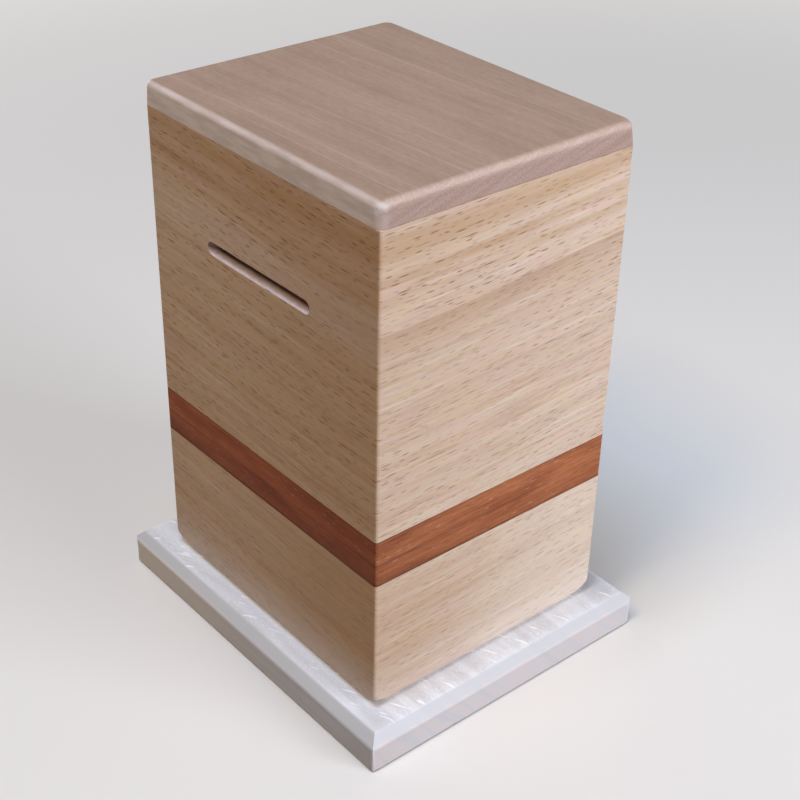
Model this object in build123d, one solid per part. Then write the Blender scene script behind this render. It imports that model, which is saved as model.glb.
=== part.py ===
from build123d import *
import os

# Wooden coin box: four mitred walls with an inlaid band, a glued lid and a screwed-on base plate.
# Millimetres, +Z up. The origin is the middle of the underside, and the coin slot faces -Y.

# Walls: each is three strips glued edge to edge
body_width = 80.0
body_depth = 67.8
wall_thickness = 9.0
lower_board_height = 34.7
band_height = 11.6
upper_board_height = 70.9

# Outer edges of the walls: down the foot the sides curve in and the corners grow round from eased uprights
foot_height = 4.0
foot_inset = 1.4
foot_corner_radius = 4.3
upright_radius = 0.9
foot_level_shares = (0, 0.25, 0.5, 0.75, 1)

# Coin slot, routed through the upper board of the front wall
slot_length = 36.2
slot_height = 3.1
slot_below_lid = 25.4
slot_mouth_chamfer = 0.15

# Lid, flush with the walls
lid_thickness = 5.7
lid_edge_radius = 1.5
lid_corner_easing = 0.3
lid_arris_chamfer = 0.2

# Base plate, wider than the walls all round: the box stands nearer to its front and right edges
base_thickness = 9.4
base_overhang_front = 6.2
base_overhang_right = 7.4
base_overhang_back = 9.0
base_overhang_left = 11.2
base_chamfer = 2.8
base_corner_radius = 0.8
base_foot_chamfer = 0.3

# Countersunk wood screws, driven up through the base plate into the front and back walls
screw_length = 25.0
screw_diameter = 3.5
screw_head_diameter = 7.0
screw_head_rim = 0.4
screw_tip_length = 4.0
screw_tip_diameter = 0.5
screw_corner_inset = 15.0
screw_wall_inset = 5.8
driver_slot_length = 3.8
driver_slot_width = 0.9
driver_slot_depth = 1.5

# Clearances of the screws in their holes
head_sink = 0.3
head_clearance = 0.1
shank_clearance = 0.25
thread_clearance = 0.05
pilot_overdrill = 1.0

# How far a cutting shape runs past the face that it cuts
cut_overrun = 1.0

# Sizes and places that follow from the ones above; the screws' places are from the middle of the box
wall_height = lower_board_height + band_height + upper_board_height
lid_corner_radius = lid_edge_radius + lid_corner_easing
screw_x = body_width / 2 - screw_corner_inset
screw_y = body_depth / 2 - screw_wall_inset
screw_places = {
    "front_left": (-screw_x, -screw_y),
    "front_right": (screw_x, -screw_y),
    "back_left": (-screw_x, screw_y),
    "back_right": (screw_x, screw_y),
}
box_x = (base_overhang_left - base_overhang_right) / 2
box_y = (base_overhang_front - base_overhang_back) / 2
standing = (Align.CENTER, Align.CENTER, Align.MIN)


# The outline of the walls' foot at a share of its height: inset and round below, like the uprights above
def foot_outline(level_share):
    sanding_share = (1 - level_share) ** 2
    inset = foot_inset * sanding_share
    corner_radius = upright_radius + (foot_corner_radius - upright_radius) * sanding_share
    outline = RectangleRounded(body_width - 2 * inset, body_depth - 2 * inset, corner_radius)
    return Pos(0, 0, foot_height * level_share) * outline


# The outer form of the four walls together, standing on Z = 0: curved foot, eased uprights, sharp top
def walls_outer_form():
    foot = loft([foot_outline(share) for share in foot_level_shares])
    plan = RectangleRounded(body_width, body_depth, upright_radius)
    uprights = extrude(plan, amount=wall_height - foot_height)
    return foot + Pos(0, 0, foot_height) * uprights


# Plan of one wall with mitred ends, which runs past the outer face that lies at -distance along Y
def mitred_plan(length, distance):
    outer_half = length / 2 + cut_overrun
    inner_half = length / 2 - wall_thickness
    return Polygon(
        (-outer_half, -distance - cut_overrun),
        (outer_half, -distance - cut_overrun),
        (inner_half, wall_thickness - distance),
        (-inner_half, wall_thickness - distance),
        align=None,
    )


# One strip of a wall, cut from the outer form between two levels
def wall_strip(outer_form, plan, angle, bottom, height):
    prism = extrude(Rot(0, 0, angle) * plan, amount=height)
    return (Pos(0, 0, bottom) * prism) & outer_form


# The coin slot: round ends, cut right through the front wall, with a slightly eased mouth
def cut_coin_slot(board):
    wall_middle = (wall_thickness - body_depth) / 2
    outline = Plane.XZ * SlotOverall(slot_length, slot_height)
    cutter = extrude(outline, amount=wall_thickness / 2 + cut_overrun, both=True)
    board = board - Pos(0, wall_middle, wall_height - slot_below_lid) * cutter
    front_face = board.faces().sort_by(Axis.Y)[0]
    return chamfer(front_face.inner_wires()[0].edges(), slot_mouth_chamfer)


# Pilot holes for the screws, drilled up into the foot of a lower board
def drill_pilot_holes(board, side):
    depth = head_sink + screw_length + pilot_overdrill - base_thickness
    drill = Cylinder(screw_diameter / 2 + thread_clearance, depth + cut_overrun, align=standing)
    for name, (x, y) in screw_places.items():
        if name.startswith(side):
            board = board - Pos(x, y, -cut_overrun) * drill
    return board


# The twelve strips of the four walls, by name
def wall_strips():
    outer_form = walls_outer_form()
    long_wall = mitred_plan(body_width, body_depth / 2)
    short_wall = mitred_plan(body_depth, body_width / 2)
    walls = {
        "front": (long_wall, 0),
        "right": (short_wall, 90),
        "back": (long_wall, 180),
        "left": (short_wall, 270),
    }
    heights = {
        "lower_board": lower_board_height,
        "band_strip": band_height,
        "upper_board": upper_board_height,
    }
    strips = {}
    for side, (plan, angle) in walls.items():
        bottom = 0
        for kind, height in heights.items():
            strips[f"{side}_{kind}"] = wall_strip(outer_form, plan, angle, bottom, height)
            bottom += height
    for side in ("front", "back"):
        strips[f"{side}_lower_board"] = drill_pilot_holes(strips[f"{side}_lower_board"], side)
    strips["front_upper_board"] = cut_coin_slot(strips["front_upper_board"])
    return strips


# The lid: one board on top of the walls, with round corners and upper edges and an eased lower arris
def lid():
    board = Box(body_width, body_depth, lid_thickness, align=standing)
    board = fillet(board.edges().filter_by(Axis.Z), lid_corner_radius)
    board = fillet(board.edges().group_by(Axis.Z)[-1], lid_edge_radius)
    board = chamfer(board.edges().group_by(Axis.Z)[0], lid_arris_chamfer)
    return Pos(0, 0, wall_height) * board


# A countersunk screw hole through the base plate, around the Z axis
def base_screw_hole():
    mouth_radius = screw_head_diameter / 2 + head_clearance
    hole_radius = screw_diameter / 2 + shank_clearance
    sink_level = head_sink + screw_head_rim
    cone_level = sink_level + mouth_radius - hole_radius
    outline = Polyline(
        (0, -cut_overrun),
        (mouth_radius, -cut_overrun),
        (mouth_radius, sink_level),
        (hole_radius, cone_level),
        (hole_radius, base_thickness + cut_overrun),
        (0, base_thickness + cut_overrun),
        close=True,
    )
    return revolve(Plane.XZ * make_face(outline), axis=Axis.Z)


# The base plate: chamfered upper edge, corners rounded by hand, and the screw holes
def base_plate():
    width = body_width + base_overhang_left + base_overhang_right
    depth = body_depth + base_overhang_front + base_overhang_back
    plate = Box(width, depth, base_thickness, align=standing)
    plate = chamfer(plate.edges().group_by(Axis.Z)[-1], base_chamfer)
    plate = chamfer(plate.edges().group_by(Axis.Z)[0], base_foot_chamfer)
    plate = plate & extrude(RectangleRounded(width, depth, base_corner_radius), amount=base_thickness)
    for x, y in screw_places.values():
        plate = plate - Pos(box_x + x, box_y + y, 0) * base_screw_hole()
    return plate


# A wood screw standing head down on Z = 0, with a cross recess for the driver
def wood_screw():
    head_radius = screw_head_diameter / 2
    shank_radius = screw_diameter / 2
    neck_level = screw_head_rim + head_radius - shank_radius
    outline = Polyline(
        (0, 0),
        (head_radius, 0),
        (head_radius, screw_head_rim),
        (shank_radius, neck_level),
        (shank_radius, screw_length - screw_tip_length),
        (screw_tip_diameter / 2, screw_length),
        (0, screw_length),
        close=True,
    )
    screw = revolve(Plane.XZ * make_face(outline), axis=Axis.Z)
    for angle in (0, 90):
        recess = Box(driver_slot_length, driver_slot_width, driver_slot_depth + cut_overrun, align=standing)
        screw = screw - Pos(0, 0, -cut_overrun) * Rot(0, 0, angle) * recess
    return screw


# All pieces by name: the walls and the lid are set on the base plate, and the screws come up from below
def all_pieces():
    pieces = {"base_plate": base_plate()}
    box = wall_strips()
    box["lid"] = lid()
    for name, piece in box.items():
        pieces[name] = Pos(box_x, box_y, base_thickness) * piece
    for name, (x, y) in screw_places.items():
        pieces[f"screw_{name}"] = Pos(box_x + x, box_y + y, head_sink) * wood_screw()
    return pieces


os.makedirs("parts", exist_ok=True)
for node, shape in all_pieces().items():
    export_step(shape, f"parts/{node}.step")
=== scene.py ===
import math
import bpy
from mathutils import Matrix, Quaternion, Vector


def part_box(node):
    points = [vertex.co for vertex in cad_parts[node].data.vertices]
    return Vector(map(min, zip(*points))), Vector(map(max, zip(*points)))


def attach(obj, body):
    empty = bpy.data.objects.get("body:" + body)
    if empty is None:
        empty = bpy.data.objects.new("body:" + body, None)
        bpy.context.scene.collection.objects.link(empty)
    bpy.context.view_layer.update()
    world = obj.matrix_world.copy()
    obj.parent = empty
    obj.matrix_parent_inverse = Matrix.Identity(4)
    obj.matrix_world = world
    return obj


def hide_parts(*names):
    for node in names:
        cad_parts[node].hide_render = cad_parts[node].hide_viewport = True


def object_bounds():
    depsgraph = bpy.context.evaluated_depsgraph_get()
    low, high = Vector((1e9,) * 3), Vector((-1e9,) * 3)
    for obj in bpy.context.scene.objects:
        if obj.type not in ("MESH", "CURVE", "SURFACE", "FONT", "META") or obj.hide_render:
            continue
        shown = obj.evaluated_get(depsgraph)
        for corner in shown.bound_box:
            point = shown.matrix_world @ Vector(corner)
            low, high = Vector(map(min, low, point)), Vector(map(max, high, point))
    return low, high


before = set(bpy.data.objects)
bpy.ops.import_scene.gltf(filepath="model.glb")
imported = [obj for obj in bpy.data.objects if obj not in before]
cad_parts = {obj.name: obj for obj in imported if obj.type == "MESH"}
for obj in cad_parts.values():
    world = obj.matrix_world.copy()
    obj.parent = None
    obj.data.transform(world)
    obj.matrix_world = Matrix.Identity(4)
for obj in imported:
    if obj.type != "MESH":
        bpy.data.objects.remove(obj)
cad_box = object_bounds()

# Base plate: one sawn board of pale raw maple, wider than the box all round. Its upper edge is
# chamfered, its corners are rounded by hand, and four countersunk holes are drilled from below.
base_low, base_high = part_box("base_plate")
base_chamfer = 0.0028
base_foot_chamfer = 0.0003
ledge_easing = 0.0011
ledge_steps = 6
side_easing = 0.0004
side_steps = 3
base_corner_radii = {(1, -1): 0.0006, (1, 1): 0.0021, (-1, 1): 0.0017, (-1, -1): 0.0020}
base_corner_steps = 8
hole_mouth_radius = 0.0036
hole_radius = 0.0020
hole_sink = 0.0007
screw_nodes = ("screw_front_left", "screw_front_right", "screw_back_left", "screw_back_right")
cut_overrun = 0.001
hair = 1e-6


def rough_board(name, low, high):
    """A plain block between two corners, with its place in its mesh."""
    bpy.ops.object.select_all(action="DESELECT")
    bpy.ops.mesh.primitive_cube_add(size=1, location=(low + high) / 2, scale=high - low)
    board = bpy.context.object
    board.name = name
    board.data.name = name
    bpy.ops.object.transform_apply(location=True, rotation=True, scale=True)
    return board


def work_on(board):
    """Makes one piece the only selected and active one."""
    bpy.ops.object.select_all(action="DESELECT")
    board.select_set(True)
    bpy.context.view_layer.objects.active = board


def pick_edges(board, wanted):
    """Opens a piece in edit mode with the edges selected whose two ends both pass a test."""
    work_on(board)
    bpy.ops.object.mode_set(mode="EDIT")
    bpy.ops.mesh.select_mode(type="EDGE")
    bpy.ops.mesh.select_all(action="DESELECT")
    bpy.ops.object.mode_set(mode="OBJECT")
    points = [vertex.co for vertex in board.data.vertices]
    for edge in board.data.edges:
        start, end = edge.vertices
        edge.select = wanted(points[start]) and wanted(points[end])
    bpy.ops.object.mode_set(mode="EDIT")


def plane_edges(board, wanted, radius, steps):
    """Takes down the edges that pass a test: one step planes a chamfer, more steps a round."""
    pick_edges(board, wanted)
    bpy.ops.mesh.bevel(offset=radius, segments=steps, profile=0.5, affect="EDGES")
    bpy.ops.object.mode_set(mode="OBJECT")


def apex(low, high, corner):
    """The X and Y of one upright corner of a block, named by the signs of its X and Y sides."""
    return high.x if corner[0] > 0 else low.x, high.y if corner[1] > 0 else low.y


def at_corner(low, high, corner):
    """A test for points at one upright corner of a block."""
    x, y = apex(low, high, corner)
    return lambda point: abs(point.x - x) < hair and abs(point.y - y) < hair


def apply_modifier(board, kind, **settings):
    """Adds a modifier to a piece and applies it at once."""
    work_on(board)
    modifier = board.modifiers.new(kind.lower(), kind)
    for name, value in settings.items():
        setattr(modifier, name, value)
    bpy.ops.object.modifier_apply(modifier=modifier.name)


def cut_with(board, tool, operation="DIFFERENCE"):
    """Cuts a piece with a tool's shape, and puts the tool away."""
    apply_modifier(board, "BOOLEAN", object=tool, operation=operation, solver="EXACT")
    bpy.data.objects.remove(tool)


def turned_bar(name, rings, sides=40):
    """A round bar along Z, grown from ring to ring, each a (radius, level) pair."""
    (radius, bottom), (_, level) = rings[:2]
    bpy.ops.object.select_all(action="DESELECT")
    bpy.ops.mesh.primitive_cylinder_add(
        vertices=sides,
        radius=radius,
        depth=level - bottom,
        location=(0, 0, (bottom + level) / 2),
    )
    bar = bpy.context.object
    bar.name = name
    bar.data.name = name
    bpy.ops.object.transform_apply(location=True, rotation=True, scale=True)
    pick_edges(bar, lambda point: abs(point.z - level) < hair)
    bpy.ops.mesh.select_mode(type="FACE")
    for next_radius, next_level in rings[2:]:
        rise = {"value": (0, 0, next_level - level)}
        bpy.ops.mesh.extrude_region_move(TRANSFORM_OT_translate=rise)
        factor = next_radius / radius
        bpy.ops.transform.resize(value=(factor, factor, 1), center_override=(0, 0, next_level))
        radius, level = next_radius, next_level
    bpy.ops.object.mode_set(mode="OBJECT")
    return bar


def screw_axis(node):
    """The place of a screw's axis on the floor."""
    low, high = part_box(node)
    return Vector(((low.x + high.x) / 2, (low.y + high.y) / 2, 0))


def sand(board, sharp_angle=38):
    """Smooth shading on rounded edges, with flat faces kept flat."""
    work_on(board)
    bpy.ops.object.shade_smooth_by_angle(angle=math.radians(sharp_angle))
    apply_modifier(board, "WEIGHTED_NORMAL", keep_sharp=True)


base_board = rough_board("base_board", base_low, base_high)
plane_edges(base_board, lambda point: point.z > base_high.z - hair, base_chamfer, 1)
plane_edges(base_board, lambda point: point.z > base_high.z - hair, ledge_easing, ledge_steps)
chamfer_level = base_high.z - base_chamfer
plane_edges(base_board, lambda point: abs(point.z - chamfer_level) < hair, side_easing, side_steps)
plane_edges(base_board, lambda point: point.z < base_low.z + hair, base_foot_chamfer, 1)
overrun = Vector((0, 0, cut_overrun))
corner_form = rough_board("corner_form", base_low - overrun, base_high + overrun)
for corner, corner_radius in base_corner_radii.items():
    plane_edges(corner_form, at_corner(base_low, base_high, corner), corner_radius, base_corner_steps)
cut_with(base_board, corner_form, "INTERSECT")
hole_rings = [
    (hole_mouth_radius, base_low.z - cut_overrun),
    (hole_mouth_radius, hole_sink),
    (hole_radius, hole_sink + hole_mouth_radius - hole_radius),
    (hole_radius, base_high.z + cut_overrun),
]
for node in screw_nodes:
    drill = turned_bar("drill", hole_rings)
    drill.data.transform(Matrix.Translation(screw_axis(node)))
    cut_with(base_board, drill)
sand(base_board)


class Shade:
    """A socket of a material's nodes. Sums and products of Shades become Math nodes."""

    def __init__(self, tree, socket):
        self.tree = tree
        self.socket = socket

    def node(self, kind, settings, inputs, output=0):
        """Adds a node, sets its settings, then fills or links its inputs, and gives one output."""
        made = self.tree.nodes.new("ShaderNode" + kind)
        for name, value in settings.items():
            setattr(made, name, value)
        for name, value in inputs.items():
            if isinstance(value, Shade):
                self.tree.links.new(value.socket, made.inputs[name])
            else:
                made.inputs[name].default_value = value
        return Shade(self.tree, made.outputs[output])

    def sibling(self, output):
        """Another output of the same node."""
        return Shade(self.tree, self.socket.node.outputs[output])

    def maths(self, operation, *others):
        """A Math node with this value first."""
        return self.node("Math", {"operation": operation}, dict(enumerate((self, *others))))

    def __add__(self, other):
        return self.maths("ADD", other)

    def __radd__(self, other):
        return self.maths("ADD", other)

    def __sub__(self, other):
        return self.maths("SUBTRACT", other)

    def __rsub__(self, other):
        return self.node("Math", {"operation": "SUBTRACT"}, {0: other, 1: self})

    def __mul__(self, other):
        return self.maths("MULTIPLY", other)

    def __rmul__(self, other):
        return self.maths("MULTIPLY", other)

    def __truediv__(self, other):
        return self.maths("DIVIDE", other)

    def __abs__(self):
        return self.maths("ABSOLUTE")

    def ramp(self, start, end):
        """Goes smoothly from 0 at start to 1 at end."""
        settings = {"interpolation_type": "SMOOTHSTEP"}
        return self.node("MapRange", settings, {"Value": self, "From Min": start, "From Max": end})

    def blend(self, colour, other):
        """Goes from one colour to another as this value goes from 0 to 1."""
        return self.node("Mix", {"data_type": "RGBA"}, {0: self, 6: colour, 7: other}, 2)

    def tinted(self, tint):
        """This colour multiplied by another."""
        settings = {"data_type": "RGBA", "blend_type": "MULTIPLY"}
        return self.node("Mix", settings, {0: 1.0, 6: self, 7: tint}, 2)


to_mm = 1000


def new_finish(name, turn=0.0, run=0.0):
    """A material, its shader, and its X, Y and Z in millimetres, turned about Z and shifted along X."""
    finish = bpy.data.materials.new(name)
    finish.use_nodes = True
    tree = finish.node_tree
    place = Shade(tree, tree.nodes.new("ShaderNodeTexCoord").outputs["Object"])
    rotation = (0, 0, math.radians(turn))
    scale = (to_mm, to_mm, to_mm)
    inputs = {"Vector": place, "Location": (run, 0, 0), "Rotation": rotation, "Scale": scale}
    axes = place.node("SeparateXYZ", {}, {"Vector": place.node("Mapping", {}, inputs)})
    return finish, tree.nodes["Principled BSDF"], (axes, axes.sibling("Y"), axes.sibling("Z"))


def noise(axes, spans, detail=2.0):
    """Soft noise from 0 to 1 whose clumps are about as long, wide and deep as the spans say."""
    x, y, z = (axis / span for axis, span in zip(axes, spans))
    place = x.node("CombineXYZ", {}, {"X": x, "Y": y, "Z": z})
    return place.node("TexNoise", {}, {"Vector": place, "Scale": 1.0, "Detail": detail})


def lens_marks(along, across, pitch, size, share, lean=0.37):
    """Short marks with pointed ends, one to a cell of a leaning grid: up to 1 on the strongest."""
    row = across / pitch[1]
    cell = along.node("CombineXYZ", {}, {"X": along / pitch[0] + row * lean, "Y": row})
    inputs = {"Vector": cell, "Scale": 1.0, "Randomness": 0.85}
    nearest = cell.node("TexVoronoi", {"voronoi_dimensions": "2D"}, inputs)
    away = cell.node("VectorMath", {"operation": "SUBTRACT"}, {0: cell, 1: nearest.sibling("Position")})
    away_along = away.node("SeparateXYZ", {}, {"Vector": away})
    away_across = away_along.sibling("Y")
    draw = nearest.node("SeparateColor", {}, {"Color": nearest.sibling("Color")})
    half_length = (draw.sibling("Green") + 0.5) * (size[0] / 2 / pitch[0])
    end_share = (away_along - away_across * lean) / half_length
    side_share = abs(away_across) * (2 * pitch[1] / size[1])
    inside = 1 - (end_share * end_share + side_share)
    return inside.ramp(0.0, 0.6) * draw.ramp(1 - share, 1.1 - share / 2)


def paint(surface, **sockets):
    """Fills or links the shader's sockets, which are named here with underscores."""
    for name, value in sockets.items():
        socket = surface.inputs[name.replace("_", " ")]
        if isinstance(value, Shade):
            value.tree.links.new(value.socket, socket)
        else:
            socket.default_value = value


def bumpy(height, strength, depth):
    """A normal roughened by a height from 0 to 1, that many metres deep."""
    return height.node("Bump", {}, {"Strength": strength, "Distance": depth, "Height": height})


maple_pale = (0.765, 0.785, 0.82, 1)
maple_shade = (0.61, 0.61, 0.63, 1)
maple_slope_shade = (0.57, 0.57, 0.585, 1)
maple_scuff = (0.96, 0.965, 0.99, 1)
maple_corner_shade = (0.56, 0.55, 0.57, 1)
maple_spot = (0.42, 0.40, 0.44, 1)
maple_cool_shade = (0.56, 0.57, 0.66, 1)
maple_end = (0.73, 0.635, 0.61, 1)
maple_warm_bounce_light = (1.0, 0.83, 0.675, 1)
spot_place = (49.4, 31.8, 8.0)
scuff_angle = math.radians(27)
raw_maple, surface, (along, across, level) = new_finish("raw_maple")
drift = noise((along, across, level), (60, 9, 12), 1.0)
ring = across * 0.8 + level * 0.6 + drift * 5
bands = noise((along, ring, level), (70, 2.6, 60))
fibres = noise((along, across, level), (7, 0.25, 0.4))
colour = (bands.ramp(0.36, 0.64) * 0.65 + fibres * 0.35).blend(maple_pale, maple_shade)
right_gap = base_high.x * to_mm - along
front_gap = across - base_low.y * to_mm
scuff_along = along * math.cos(scuff_angle) + across * math.sin(scuff_angle)
scuff_across = across * math.cos(scuff_angle) - along * math.sin(scuff_angle)
on_ledge = (level - base_high.z * to_mm).ramp(-0.9, -0.3)
fuzz = noise((along, across, level), (1.1, 0.3, 0.5)).ramp(0.50, 0.70)
colour = (fuzz * (on_ledge * 0.28 + 0.12)).blend(colour, maple_scuff)
scuffs = lens_marks(scuff_along, scuff_across, (6.2, 2.3), (4.4, 0.6), 0.6) * on_ledge
colour = scuffs.blend(colour, maple_scuff)
# Painted shade: the ledge turns greyer towards the front-right corner.
from_corner = (right_gap * right_gap + front_gap * front_gap).maths("SQRT")
colour = (from_corner.ramp(15.0, 3.0) * 0.6).blend(colour, maple_corner_shade)
from_spot = along.node("CombineXYZ", {}, {"X": along, "Y": across, "Z": level})
distance = {"operation": "DISTANCE"}
from_spot = from_spot.node("VectorMath", distance, {0: from_spot, 1: spot_place}, "Value")
colour = (from_spot.ramp(0.7, 0.3) * 0.7).blend(colour, maple_spot)
below_ledge = (level - base_high.z * to_mm).ramp(-0.3, -1.0)
on_slope = below_ledge * (level - chamfer_level * to_mm).ramp(-0.3, 0.3)
# Painted shade: the chamfer is painted darker than the ledge.
colour = (on_slope * 0.9).blend(colour, maple_slope_shade)
end_streaks = bands.ramp(0.62, 0.38) * 0.5 + 0.3
colour = (right_gap.ramp(0.5, 0.1) * end_streaks).blend(colour, maple_end)
# Painted light and shade on the front side of the base: warm bounce light towards the left end, cool
# shade towards the right end.
maple_side_light_and_shade = along.ramp(-45.0, 35.0).blend(maple_warm_bounce_light, maple_cool_shade)
colour = (front_gap.ramp(0.6, 0.1) * 0.4).blend(colour, maple_side_light_and_shade)
nap = noise((along, across, level), (0.5, 0.5, 0.5))
bump = bumpy(fibres * 0.5 + nap * 0.4 + scuffs * 0.3, 0.35, 0.00012)
paint(surface, Base_Color=colour, Roughness=bands * 0.12 + 0.66, Normal=bump, Specular_IOR_Level=0.3)
base_board.data.materials.append(raw_maple)
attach(base_board, "base")
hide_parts("base_plate")

# Wood screws: four countersunk screws of plated steel, with a cross recess and a rolled thread.
# Each is driven up through the base plate into the foot of the front or the back wall.
screw_low, screw_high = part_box(screw_nodes[0])
screw_length = screw_high.z - screw_low.z
head_radius = (screw_high.x - screw_low.x) / 2
head_rim = 0.0004
shank_radius = 0.00172
core_radius = 0.00118
tip_radius = 0.00025
shank_end = 0.0105
tip_start = screw_length - 0.004
thread_pitch = 0.0016
thread_steepness = 0.55
thread_root = 0.00008
thread_turn = math.radians(2)
thread_steps = 32
thread_first_share = 0.4
thread_last_share = 0.1
screw_sharp_angle = 32
recess_length = 0.0038
recess_width = 0.0009
recess_depth = 0.0015
recess_taper = (0.55, 0.7, 1)
thread_height = shank_radius - core_radius
thread_start = shank_end + thread_height
thread_turns = int((screw_length - thread_start) / thread_pitch) - 1
screw_rings = [
    (head_radius, 0.0),
    (head_radius, head_rim),
    (shank_radius, head_rim + head_radius - shank_radius),
    (shank_radius, shank_end),
    (core_radius, thread_start),
    (core_radius, tip_start),
    (tip_radius, screw_length),
]
pattern_screw = turned_bar("pattern_screw", screw_rings)
bpy.ops.object.select_all(action="DESELECT")
bpy.ops.mesh.primitive_circle_add(
    vertices=4,
    radius=thread_height + thread_root,
    location=(core_radius - thread_root, 0, thread_start),
    rotation=(math.pi / 2, 0, 0),
    scale=(1, thread_steepness, 1),
)
thread = bpy.context.object
bpy.ops.object.transform_apply(location=True, rotation=True, scale=True)
apply_modifier(
    thread,
    "SCREW",
    axis="Z",
    screw_offset=thread_pitch,
    iterations=thread_turns,
    steps=thread_steps,
    render_steps=thread_steps,
)
thread.data.transform(Matrix.Rotation(thread_turn, 4, "Z"))
thread_end = max(vertex.co.z for vertex in thread.data.vertices)
for vertex in thread.data.vertices:
    reach = math.hypot(vertex.co.x, vertex.co.y)
    taper = max(0.0, (vertex.co.z - tip_start) / (screw_length - tip_start))
    core = core_radius + (tip_radius - core_radius) * taper
    run_in = (vertex.co.z - thread_start) / thread_pitch + thread_first_share
    run_out = (thread_end - vertex.co.z) / thread_pitch + thread_last_share
    wanted_reach = core + (reach - core_radius) * min(1.0, run_in, run_out)
    wanted_reach = max(thread_root, wanted_reach)
    vertex.co.x *= wanted_reach / reach
    vertex.co.y *= wanted_reach / reach
pick_edges(thread, lambda point: False)
bpy.ops.mesh.select_non_manifold(
    extend=False,
    use_wire=False,
    use_multi_face=False,
    use_non_contiguous=False,
)
bpy.ops.mesh.fill()
bpy.ops.mesh.select_all(action="SELECT")
bpy.ops.mesh.normals_make_consistent(inside=False)
bpy.ops.object.mode_set(mode="OBJECT")
cut_with(pattern_screw, thread, "UNION")
for turn in (0, math.pi / 2):
    blade_low = Vector((-recess_length / 2, -recess_width / 2, -cut_overrun))
    blade_high = Vector((recess_length / 2, recess_width / 2, recess_depth))
    blade = rough_board("blade", blade_low, blade_high)
    pick_edges(blade, lambda point: point.z > 0)
    bpy.ops.transform.resize(value=recess_taper, center_override=(0, 0, recess_depth))
    bpy.ops.object.mode_set(mode="OBJECT")
    blade.data.transform(Matrix.Rotation(turn, 4, "Z"))
    cut_with(pattern_screw, blade)
sand(pattern_screw, screw_sharp_angle)

steel_bright = (0.55, 0.54, 0.52, 1)
steel_dull = (0.36, 0.35, 0.33, 1)
plated_steel, surface, (across, sideways, along) = new_finish("plated_steel")
cloud = noise((across, sideways, along), (1.6, 1.6, 2.5))
rings = noise((across, sideways, along), (6, 6, 0.12))
colour = cloud.ramp(0.35, 0.75).blend(steel_bright, steel_dull)
bump = bumpy(rings * 0.6 + cloud * 0.2, 0.2, 0.00004)
paint(surface, Base_Color=colour, Metallic=1.0, Roughness=cloud * 0.25 + 0.24, Normal=bump)
pattern_screw.data.materials.append(plated_steel)
for node in screw_nodes:
    screw = pattern_screw.copy()
    screw.data = pattern_screw.data.copy()
    screw.name = node.replace("screw", "threaded_screw")
    screw.data.name = screw.name
    screw.data.transform(Matrix.Translation(screw_axis(node) + Vector((0, 0, screw_low.z))))
    bpy.context.scene.collection.objects.link(screw)
    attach(screw, node)
    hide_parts(node)
bpy.data.objects.remove(pattern_screw)

# Walls: four boards, mitred and glued at the corners, each glued up from a lower beech board, a red
# strip and an upper beech board. The uprights are only eased with sandpaper; down the foot the sides
# curve in a little and the corners are sanded round.
wall_low = Vector((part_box("left_lower_board")[0].x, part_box("front_lower_board")[0].y, base_high.z))
wall_high = Vector(
    (
        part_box("right_lower_board")[1].x,
        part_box("back_lower_board")[1].y,
        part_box("lid")[0].z,
    )
)
wall_middle = (wall_low + wall_high) / 2
wall_half = (wall_high - wall_low) / 2
wall_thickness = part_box("front_upper_board")[1].y - wall_low.y
band_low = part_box("front_band_strip")[0].z
band_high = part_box("front_band_strip")[1].z
foot_height = 0.0040
foot_inset = 0.0014
foot_steps = 10
foot_corner_radii = {(1, -1): 0.0043, (1, 1): 0.0047, (-1, 1): 0.0044, (-1, -1): 0.0058}
foot_corner_steps = 12
upright_radii = {(1, -1): 0.00085, (1, 1): 0.0009, (-1, 1): 0.0009, (-1, -1): 0.0009}


def saw(board, point, waste, clear=True):
    """Saws a piece through at a plane, and takes away the waste side unless it is only to be marked."""
    pick_edges(board, lambda point: False)
    bpy.ops.mesh.select_all(action="SELECT")
    bpy.ops.mesh.bisect(plane_co=point, plane_no=waste, use_fill=clear, clear_outer=clear)
    bpy.ops.object.mode_set(mode="OBJECT")


def nearest_corner(point, middle):
    """The upright corner of a block that is nearest to a point, named by the signs of its sides."""
    return math.copysign(1, point.x - middle.x), math.copysign(1, point.y - middle.y)


walls_form = rough_board("walls_form", wall_low, wall_high)
for corner, corner_radius in foot_corner_radii.items():
    plane_edges(walls_form, at_corner(wall_low, wall_high, corner), corner_radius, foot_corner_steps)
for step in range(1, foot_steps + 1):
    saw(walls_form, (0, 0, wall_low.z + foot_height * step / foot_steps), (0, 0, 1), clear=False)
for vertex in walls_form.data.vertices:
    corner = nearest_corner(vertex.co, wall_middle)
    x, y = apex(wall_low, wall_high, corner)
    sanding = max(0.0, 1 - (vertex.co.z - wall_low.z) / foot_height) ** 2
    share = sanding + (1 - sanding) * upright_radii[corner] / foot_corner_radii[corner]
    vertex.co.x = x - corner[0] * foot_inset * sanding + (vertex.co.x - x) * share
    vertex.co.y = y - corner[1] * foot_inset * sanding + (vertex.co.y - y) * share


def saw_strip(name, outward, bottom, top):
    """One strip of a wall, sawn out of the walls' form: the inner face, two mitres and two levels."""
    strip = walls_form.copy()
    strip.data = walls_form.data.copy()
    strip.name = name
    strip.data.name = name
    bpy.context.scene.collection.objects.link(strip)
    along = Vector((-outward.y, outward.x, 0))
    reach = abs(outward.dot(wall_half))
    half_length = abs(along.dot(wall_half))
    saw(strip, wall_middle + outward * (reach - wall_thickness), -outward)
    for end in (-1, 1):
        saw(strip, wall_middle + outward * reach + along * half_length * end, along * end - outward)
    if bottom > wall_low.z:
        saw(strip, (0, 0, bottom), (0, 0, -1))
    if top < wall_high.z:
        saw(strip, (0, 0, top), (0, 0, 1))
    return strip


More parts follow.
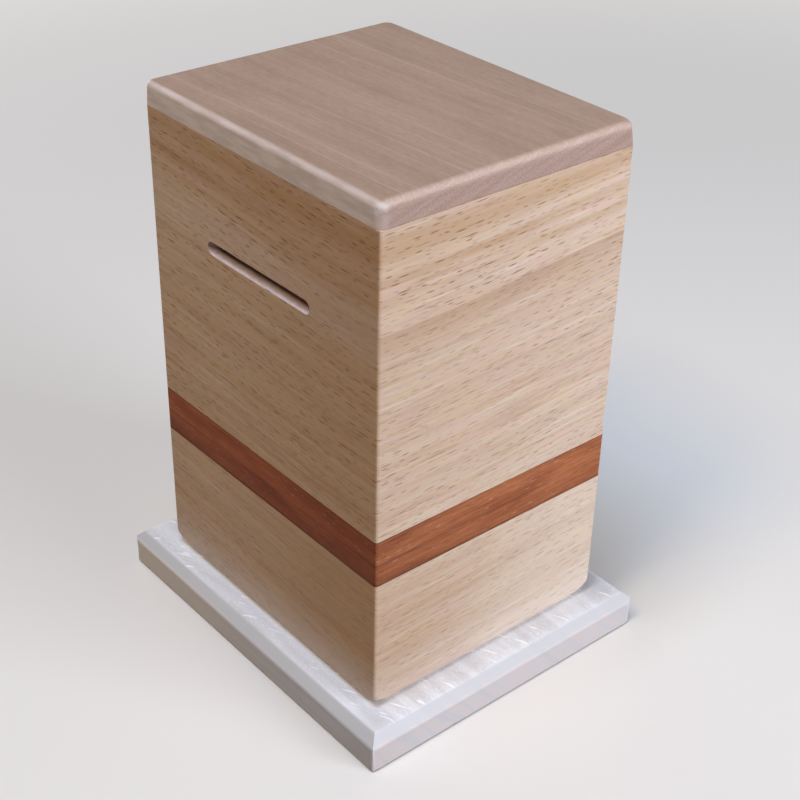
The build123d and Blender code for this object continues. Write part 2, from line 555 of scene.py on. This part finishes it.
round_right = wall_high.y - wall_low.y
round_back = round_right + wall_high.x - wall_low.x
wall_sides = {
    "front": (Vector((0, -1, 0)), 0, -wall_high.x),
    "right": (Vector((1, 0, 0)), -90, -wall_low.y),
    "back": (Vector((0, 1, 0)), 180, round_right + wall_high.x),
    "left": (Vector((-1, 0, 0)), 90, round_back + wall_high.y),
}
slot_length = 0.0362
slot_height = 0.0031
slot_below_lid = 0.0254
slot_level = wall_high.z - slot_below_lid
beech_pale_grain_and_light = (0.90, 0.79, 0.655, 1)
beech_cream = (0.79, 0.65, 0.525, 1)
beech_rose = (0.62, 0.435, 0.325, 1)
beech_honey = (0.80, 0.62, 0.41, 1)
beech_pink = (0.78, 0.55, 0.47, 1)
beech_tan = (0.53, 0.325, 0.165, 1)
beech_ring = (0.48, 0.31, 0.20, 1)
beech_painted_shade = (0.48, 0.295, 0.16, 1)
beech_raw_and_bounce_light = (0.86, 0.82, 0.86, 1)
slot_painted_shadow = (0.55, 0.39, 0.33, 1)
slot_painted_light = (0.78, 0.70, 0.78, 1)
beech_fleck = (0.27, 0.115, 0.055, 1)
# Painted light and shade per wall: the front board is tinted darker and warmer as in shade, the back and
# left a little.
beech_painted_side_light = {
    "front": (0.89, 0.82, 0.73, 1),
    "right": (1, 1, 1, 1),
    "back": (0.97, 0.95, 0.92, 1),
    "left": (1, 0.98, 0.95, 1),
}
fleck_weights = {"front": 0.66, "right": 0.64, "back": 0.65, "left": 0.65}
ring_shares = {"front": 0.1, "right": 1.0, "back": 0.6, "left": 0.8}
# Painted shade towards the front-right upright, per wall.
upright_painted_shades = {"front": 0.37, "right": 0.20, "back": 0.20, "left": 0.20}
# Painted bounce light from the base plate along each wall's foot, per wall.
foot_bounce_shares = {"front": 0.60, "right": 0.16, "back": 0.25, "left": 0.25}
grain_swell = 2.0
grain_wave = 2 * math.pi / 200
ring_lines = (
    (22.3, 6.5, 0.60),
    (41.0, 5.0, 0.30),
    (59.5, 6.0, 0.22),
    (92.5, 6.0, 0.30),
    (103.5, 5.0, 0.25),
)
tan_bands = ((5.0, 4.8, 0.62), (11.2, 2.2, 0.55), (15.6, 1.4, 0.35))


def beech(side, turn, run):
    """Flat-sawn beech with its grain along a wall: soft bands, ring lines and the dark ends of rays."""
    finish, surface, (along, depth, across) = new_finish(side + "_beech", turn, run * to_mm)
    drift = noise((along, across, depth), (110, 35, 40), 1.0)
    swell = (1 - (along * grain_wave).maths("COSINE")) * grain_swell
    below = wall_high.z * to_mm - across + swell - (drift - 0.5) * 1.2
    bands = noise((along, below, depth), (160, 3.6, 30))
    streaks = noise((along, below, depth), (24, 0.75, 9))
    fibres = noise((along, below, depth), (3.5, 0.24, 0.8))
    patches = noise((along, below, depth), (50, 9, 40), 1.0).ramp(0.30, 0.55)
    tone = bands.ramp(0.32, 0.68) * 0.50 + streaks.ramp(0.30, 0.70) * 0.30
    tone = tone + fibres.ramp(0.30, 0.70) * 0.25
    colour = tone.blend(beech_cream, beech_rose)
    pale_streaks = noise((along, below + 60, depth), (24, 1.0, 20)).ramp(0.52, 0.72)
    colour = (pale_streaks * 0.55).blend(colour, beech_pale_grain_and_light)
    tan_streaks = noise((along, below + 130, depth), (24, 1.1, 20)).ramp(0.54, 0.74)
    colour = (tan_streaks * 0.5).blend(colour, beech_tan)
    honey_streaks = noise((along, below + 300, depth), (15, 2.0, 20)).ramp(0.42, 0.66)
    colour = (honey_streaks * 0.4).blend(colour, beech_honey)
    pink_streaks = noise((along, below + 210, depth), (16, 1.1, 15)).ramp(0.53, 0.70)
    colour = (pink_streaks * 0.7).blend(colour, beech_pink)
    for line, fade, weight in ring_lines:
        under = below - line
        shade = under.ramp(-0.3, 0.3) * (under.maths("MAXIMUM", 0.0) / -fade).maths("EXPONENT")
        colour = (shade * (weight * ring_shares[side])).blend(colour, beech_ring)
    for middle, spread, weight in tan_bands:
        shade = (1 - abs(below - middle) / spread).ramp(0.0, 1.0) * (patches * 0.6 + 0.4)
        colour = (shade * weight).blend(colour, beech_tan)
    on_lower = across.ramp(band_high * to_mm, band_low * to_mm)
    # Painted shade: darker towards the front-right upright, more on the lower board and most on the
    # front wall.
    painted_upright_shade = abs(along).ramp(65.0, 0.0) * (on_lower * 0.18 + upright_painted_shades[side])
    colour = painted_upright_shade.blend(colour, beech_painted_shade)
    # Painted light: the lower board is paler towards the back of the right wall and all along the back
    # and left walls.
    painted_lower_light = on_lower * along.ramp(10.0, 65.0) * 0.35
    colour = painted_lower_light.blend(colour, beech_pale_grain_and_light)
    # Painted bounce light from the base plate: the lowest 16 mm of the wall is paler, most on the front.
    foot_bounce_light = (across - wall_low.z * to_mm).ramp(16.0, 0.0) * foot_bounce_shares[side]
    colour = foot_bounce_light.blend(colour, beech_raw_and_bounce_light)
    bold = lens_marks(along, below, (4.6, 1.6), (3.1, 0.42), 0.75)
    faint = lens_marks(along + 31.0, below + 17.0, (3.0, 0.95), (2.3, 0.32), 0.7)
    flecks = bold.maths("MAXIMUM", faint * 0.65)
    vigour = noise((along, below, depth), (40, 15, 30), 1.0).ramp(0.35, 0.62) * 0.4 + 0.6
    vigour = vigour * (1 - on_lower * 0.3) * (below.ramp(42.0, 16.0) * 0.2 + 0.95)
    colour = (flecks * vigour * fleck_weights[side]).blend(colour, beech_fleck)
    # Painted light and shade: each wall's own tint.
    colour = colour.tinted(beech_painted_side_light[side])
    bump = bumpy(fibres * 0.35 - flecks * 0.9, 0.3, 0.0001)
    if side == "front":
        dusty = below.ramp(15.5, 20.5) * below.ramp(31.0, 26.0) * 0.1
        colour = dusty.blend(colour, beech_raw_and_bounce_light)
        # Painted light and shadow in the coin slot: its floor near the mouth and its left end are
        # painted lit, with raw-wood spots, the rest is painted in shadow.
        lip = across - slot_level * to_mm
        inward = depth - wall_low.y * to_mm
        slot_end = (wall_middle.x - wall_high.x - slot_length / 2) * to_mm
        in_slot = (abs(lip) - slot_height * to_mm / 2).ramp(0.06, 0.0) * inward.ramp(0.12, 0.3)
        floor_light = inward.ramp(3.1, 2.2) * lip.ramp(-0.6, -1.2)
        end_light = along.ramp(slot_end + 2.2, slot_end + 0.6) * inward.ramp(3.5, 1.5) * 0.7
        raw_spots = noise((along, across, depth), (1.6, 0.8, 1.0)).ramp(0.30, 0.70)
        light = floor_light.maths("MAXIMUM", end_light) * (raw_spots * 0.5 + 0.6)
        colour = in_slot.blend(colour, light.blend(slot_painted_shadow, slot_painted_light))
    roughness = bands * 0.1 + flecks * 0.15 + 0.44
    paint(surface, Base_Color=colour, Roughness=roughness, Normal=bump, Specular_IOR_Level=0.06)
    return finish


wall_finishes = {side: beech(side, turn, run) for side, (_, turn, run) in wall_sides.items()}


def glue_up(strip, node, finish):
    """Gives a strip of the walls its finish and its place in the box."""
    sand(strip)
    strip.data.materials.append(finish)
    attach(strip, "box")
    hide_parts(node)


# Lower boards: beech, 35 mm high, with their foot rounded over and standing on the base plate. The
# front and the back one have two pilot holes each, drilled up into the foot for the screws.
pilot_radius = 0.0018
pilot_depth = 0.0169
pilot_rings = [
    (pilot_radius, wall_low.z - cut_overrun),
    (pilot_radius, wall_low.z + pilot_depth),
]
for side, (outward, _, _) in wall_sides.items():
    strip = saw_strip(side + "_lower_strip", outward, wall_low.z, band_low)
    for node in screw_nodes:
        if node.startswith("screw_" + side):
            drill = turned_bar("pilot_drill", pilot_rings)
            drill.data.transform(Matrix.Translation(screw_axis(node)))
            cut_with(strip, drill)
    glue_up(strip, side + "_lower_board", wall_finishes[side])

# Red band: a strip of dark red hardwood let in between the two beech boards of each wall, glued and
# planed flush.
red_bright = (0.55, 0.20, 0.085, 1)
red_deep = (0.23, 0.065, 0.028, 1)
red_dark = (0.10, 0.034, 0.020, 1)
red_glint = (0.68, 0.42, 0.32, 1)
low_shades = {"front": 0.30, "right": 0.04, "back": 0.15, "left": 0.10}
# Painted light and shade per wall: the front strip is tinted darker, the right one lighter.
red_painted_side_light = {
    "front": (0.93, 0.78, 0.77, 1),
    "right": (1.06, 1.07, 1.09, 1),
    "back": (0.95, 0.92, 0.92, 1),
    "left": (1, 0.96, 0.96, 1),
}


def red_wood(side, turn, run):
    """Dark red hardwood: blotches, streaks, dark pores and pale glints, darker along the glue joints."""
    finish, surface, (along, depth, across) = new_finish(side + "_red_wood", turn, run * to_mm)
    rise = across - band_low * to_mm
    fall = band_high * to_mm - across
    tone = noise((along, across, depth), (24, 4.0, 20), 3.0)
    streaks = noise((along, across, depth), (16, 0.45, 6))
    fibres = noise((along, across, depth), (5, 0.2, 0.8))
    patches = noise((along, across, depth), (18, 6, 20), 1.0).ramp(0.35, 0.65)
    shade = tone.ramp(0.32, 0.68) * 0.45 + streaks.ramp(0.3, 0.7) * 0.30 + fibres.ramp(0.3, 0.7) * 0.25
    colour = shade.blend(red_bright, red_deep)
    pores = lens_marks(along, across, (4.2, 0.7), (3.4, 0.26), 0.8)
    colour = (pores * 0.5).blend(colour, red_dark)
    glints = lens_marks(along + 13.0, across + 7.0, (3.1, 1.1), (1.6, 0.26), 0.55)
    colour = (glints * patches * 0.7).blend(colour, red_glint)
    middle_line = (1 - abs(rise - 5.4) / 0.7).ramp(0.0, 1.0) * patches
    colour = (middle_line * 0.45).blend(colour, red_dark)
    colour = (fall.ramp(0.5, 0.05) * 0.5).blend(colour, red_dark)
    colour = (rise.ramp(1.2, 0.1) * 0.6).blend(colour, red_dark)
    # Painted shade: darker towards the front-right upright.
    colour = (abs(along).ramp(65.0, 0.0) * 0.2).blend(colour, red_dark)
    colour = (rise.ramp(8.0, 2.0) * low_shades[side]).blend(colour, red_dark)
    # Painted light and shade: each wall's own tint.
    colour = colour.tinted(red_painted_side_light[side])
    bump = bumpy(streaks * 0.3 - pores * 0.8, 0.3, 0.0001)
    paint(surface, Base_Color=colour, Roughness=tone * 0.12 + 0.40, Normal=bump, Specular_IOR_Level=0.06)
    return finish


for side, (outward, turn, run) in wall_sides.items():
    strip = saw_strip(side + "_red_strip", outward, band_low, band_high)
    glue_up(strip, side + "_band_strip", red_wood(side, turn, run))

# Upper boards: beech, 71 mm high. The front one has the coin slot, routed right through with round
# ends, and its mouth is eased by hand.
slot_mouth_easing = 0.00015
slot_mouth_steps = 3
slot_end_radius = slot_height * 0.4999
slot_end_steps = 8
for side, (outward, _, _) in wall_sides.items():
    strip = saw_strip(side + "_upper_strip", outward, band_high, wall_high.z)
    if side == "front":
        slot_reach = Vector((slot_length / 2, wall_thickness + cut_overrun, slot_height / 2))
        slot_middle = Vector((wall_middle.x, wall_low.y, slot_level))
        router = rough_board("router", slot_middle - slot_reach, slot_middle + slot_reach)
        for end, rim in ((-1, -1), (-1, 1), (1, -1), (1, 1)):
            plane_edges(
                router,
                lambda point: (point.x - slot_middle.x) * end > slot_reach.x - hair
                and (point.z - slot_level) * rim > slot_reach.z - hair,
                slot_end_radius,
                slot_end_steps,
            )
        cut_with(strip, router)
        plane_edges(
            strip,
            lambda point: point.y < wall_low.y + hair
            and abs(point.x - slot_middle.x) < slot_reach.x + hair
            and abs(point.z - slot_level) < slot_reach.z + hair,
            slot_mouth_easing,
            slot_mouth_steps,
        )
    glue_up(strip, side + "_upper_board", wall_finishes[side])
bpy.data.objects.remove(walls_form)

# Lid: one beech board, glued on flush with the walls. Its upper edges are rounded over, its corners
# are sanded round by hand, each a little differently, and its lower arris is eased.
lid_low, lid_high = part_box("lid")
lid_middle = (lid_low + lid_high) / 2
lid_edge_radius = 0.0015
lid_corner_radius = 0.0026
lid_round_steps = 10
lid_arris = 0.0002
lid_arris_steps = 2
lid_corner_shares = {
    (1, -1): (0.75, 1.0),
    (1, 1): (0.35, 1.4),
    (-1, 1): (0.4, 1.0),
    (-1, -1): (0.35, 0.75),
}
lid_board = rough_board("lid_board", lid_low, lid_high)
for corner in lid_corner_shares:
    plane_edges(lid_board, at_corner(lid_low, lid_high, corner), lid_corner_radius, lid_round_steps)
plane_edges(lid_board, lambda point: point.z > lid_high.z - hair, lid_edge_radius, lid_round_steps)
plane_edges(lid_board, lambda point: point.z < lid_low.z + hair, lid_arris, lid_arris_steps)
for vertex in lid_board.data.vertices:
    corner = nearest_corner(vertex.co, lid_middle)
    x, y = apex(lid_low, lid_high, corner)
    low_share, high_share = lid_corner_shares[corner]
    climb = (vertex.co.z - lid_low.z) / (lid_high.z - lid_low.z)
    share = low_share + (high_share - low_share) * climb**2
    vertex.co.x = x + (vertex.co.x - x) * share
    vertex.co.y = y + (vertex.co.y - y) * share
sand(lid_board)

lid_brown = (0.256, 0.16, 0.111, 1)
lid_rose = (0.415, 0.279, 0.207, 1)
lid_pale_grain_and_light = (0.539, 0.401, 0.330, 1)
lid_fleck = (0.20, 0.115, 0.08, 1)
lid_wear_and_sheen = (0.82, 0.705, 0.655, 1)
lid_end = (0.376, 0.245, 0.203, 1)
lid_end_grain_and_highlight = (0.60, 0.45, 0.375, 1)
lid_corner_highlight = (0.84, 0.80, 0.80, 1)
lid_slant = 0.045
lid_finish, surface, (along, across, level) = new_finish("lid_beech")
drift = noise((along, across, level), (60, 25, 20), 1.0)
grain = across - along * lid_slant + (drift - 0.5) * 3
bands = noise((along, grain, level), (110, 4.5, 8))
streaks = noise((along, grain, level), (50, 0.9, 5))
fibres = noise((along, grain, level), (5, 0.28, 0.9))
patches = noise((along, grain, level), (24, 9, 10))
specks = noise((along, across, level), (1.4, 0.5, 0.5))
tone = bands.ramp(0.3, 0.7) * 0.22 + patches.ramp(0.3, 0.7) * 0.22 + streaks.ramp(0.3, 0.7) * 0.16
tone = tone + fibres.ramp(0.3, 0.7) * 0.20 + specks.ramp(0.3, 0.7) * 0.22
colour = tone.blend(lid_rose, lid_brown)
pale_lines = noise((along, grain + 40, level), (260, 1.7, 6), 1.0).ramp(0.58, 0.74)
colour = (pale_lines * 0.3).blend(colour, lid_pale_grain_and_light)
# Painted light: the lid grows paler towards its right end.
colour = (along.ramp(-35.0, 45.0) * 0.1).blend(colour, lid_pale_grain_and_light)
flecks = lens_marks(along, grain, (3.6, 0.95), (2.2, 0.24), 0.6)
colour = (flecks * 0.35).blend(colour, lid_fleck)
front_gap = across - lid_low.y * to_mm
right_gap = lid_high.x * to_mm - along
mottle = noise((along, across, level), (7.0, 2.0, 1.3), 3.0).ramp(0.35, 0.65)
# The front rim is paler: partly wear, partly painted sheen.
wear_and_sheen = front_gap.ramp(1.5, 0.1) * (mottle * 0.26 + 0.68)
colour = wear_and_sheen.blend(colour, lid_wear_and_sheen)
end_rings = noise((along, level - across * 0.30, across), (20, 1.2, 16)).ramp(0.35, 0.65)
end_pores = noise((along, across, level), (2.0, 0.4, 0.4)).ramp(0.3, 0.7)
# Painted highlight on the round-over of the right rim, mixed with the end grain's rings and pores.
rounded = (level - lid_high.z * to_mm).ramp(-2.4, -1.0)
end_colour = (rounded * 0.45 + end_rings * 0.20 + end_pores * 0.35).blend(lid_end, lid_end_grain_and_highlight)
colour = right_gap.ramp(1.6, 0.2).blend(colour, end_colour)
# Painted highlight at the front-right corner, strongest on the round-over.
corner_highlight = (right_gap + front_gap).ramp(2.5, 1.2) * (rounded * 0.6 + 0.2)
colour = corner_highlight.blend(colour, lid_corner_highlight)
bump = bumpy(fibres * 0.4 - flecks * 0.7, 0.3, 0.0001)
paint(surface, Base_Color=colour, Roughness=bands * 0.1 + 0.42, Normal=bump, Specular_IOR_Level=0.18)
lid_board.data.materials.append(lid_finish)
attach(lid_board, "box")
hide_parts("lid")

# Floor: a plain pale sheet, open under the base plate so that the screws can come out downwards. Far
# from the box it passes into the colour of the backdrop.
floor_half = 3.0
floor_gap = 0.0002
floor_lap = 0.004
floor_fade = (250.0, 900.0)
floor_pale = (0.80, 0.775, 0.735, 1)
floor_bounce = (0.16, 0.12, 0.08, 1)
backdrop_colour = (0.90, 0.89, 0.87, 1)
black = (0, 0, 0, 1)
bpy.ops.object.select_all(action="DESELECT")
bpy.ops.mesh.primitive_plane_add(size=2 * floor_half, location=(0, 0, -floor_gap))
floor = bpy.context.object
floor.name = "floor"
bpy.ops.object.transform_apply(location=True, rotation=True, scale=True)
hole_half = (base_high - base_low) / 2 - Vector((floor_lap, floor_lap, 0))
for outward in (Vector((1, 0, 0)), Vector((-1, 0, 0)), Vector((0, 1, 0)), Vector((0, -1, 0))):
    saw(floor, outward * abs(outward.dot(hole_half)), outward, clear=False)
pick_edges(floor, lambda point: max(abs(point.x) / hole_half.x, abs(point.y) / hole_half.y) < 1 + hair)
bpy.ops.mesh.select_mode(type="FACE")
bpy.ops.mesh.delete(type="FACE")
bpy.ops.object.mode_set(mode="OBJECT")
floor_finish, surface, (along, across, level) = new_finish("pale_floor")


def seen_rays(tree):
    """1 on the rays that show a background: straight, mirrored or through glass."""
    rays = Shade(tree, tree.nodes.new("ShaderNodeLightPath").outputs["Is Camera Ray"])
    mirrored = rays.maths("MAXIMUM", rays.sibling("Is Glossy Ray"))
    return mirrored.maths("MAXIMUM", rays.sibling("Is Transmission Ray"))


seen = seen_rays(floor_finish.node_tree)
far = seen * (along * along + across * across).maths("SQRT").ramp(*floor_fade)
near_colour = far.blend(seen.blend(floor_bounce, floor_pale), black)
far_glow = far.blend(black, backdrop_colour)
paint(surface, Base_Color=near_colour, Emission_Color=far_glow, Emission_Strength=1.0)
paint(surface, Roughness=0.9, Specular_IOR_Level=0.0)
floor.data.materials.append(floor_finish)

# Light: a large cool window light from the right, a soft cool one from above, a warm lamp high in front
# and a weak fill low on the left, with a dim even sky. One more light, under the floor, reaches only
# the underside.
aim = (cad_box[0] + cad_box[1]) / 2


def soft_light(name, azimuth, elevation, distance, size, level, colour):
    """A square area light on a sphere round the object: level is the brightness of white facing it."""
    turn = math.radians(azimuth)
    tilt = math.radians(elevation)
    away = Vector((math.sin(turn) * math.cos(tilt), -math.cos(turn) * math.cos(tilt), math.sin(tilt)))
    bpy.ops.object.light_add(type="AREA", location=aim + away * distance)
    light = bpy.context.object
    light.name = name
    light.rotation_euler = away.to_track_quat("Z", "Y").to_euler()
    light.data.size = size
    light.data.color = colour
    light.data.energy = level * math.pi**2 * distance**2


soft_light("window", 108, 15, 0.9, 0.53, 0.89, (0.96, 1.0, 1.11))
soft_light("ceiling", 10, 75, 1.4, 0.5, 0.46, (0.80, 1.0, 1.32))
soft_light("lamp", 8, 56, 1.4, 0.4, 0.34, (1.0, 0.74, 0.45))
soft_light("fill", 265, 8, 1.2, 0.7, 0.36, (1.0, 0.97, 0.93))
soft_light("under", 40, -60, 1.2, 0.7, 0.5, (1.0, 0.98, 0.95))
sky_colour = (1.0, 0.86, 0.68, 1)
sky_strength = 0.05
world = bpy.data.worlds.new("studio")
bpy.context.scene.world = world
world.use_nodes = True
background = world.node_tree.nodes["Background"]
seen = seen_rays(world.node_tree)
strength = seen * (1 - sky_strength) + sky_strength
paint(background, Color=seen.blend(sky_colour, backdrop_colour), Strength=strength)

# Camera: at the photograph's angle, from above and to the right of the slot, with the photograph's
# slight roll.
camera_place = Vector((0.23574, -0.19500, 0.24705))
camera_azimuth = math.radians(49.531)
camera_elevation = math.radians(31.881)
camera_roll = math.radians(1.259)
camera_lens = 68.577
bpy.ops.object.camera_add(location=camera_place)
camera = bpy.context.object
camera_back = Vector(
    (
        math.sin(camera_azimuth) * math.cos(camera_elevation),
        -math.cos(camera_azimuth) * math.cos(camera_elevation),
        math.sin(camera_elevation),
    )
)
camera.rotation_mode = "QUATERNION"
camera.rotation_quaternion = camera_back.to_track_quat("Z", "Y") @ Quaternion((0, 0, 1), camera_roll)
camera.data.lens = camera_lens
bpy.context.scene.camera = camera
bpy.context.scene.view_settings.view_transform = "Standard"
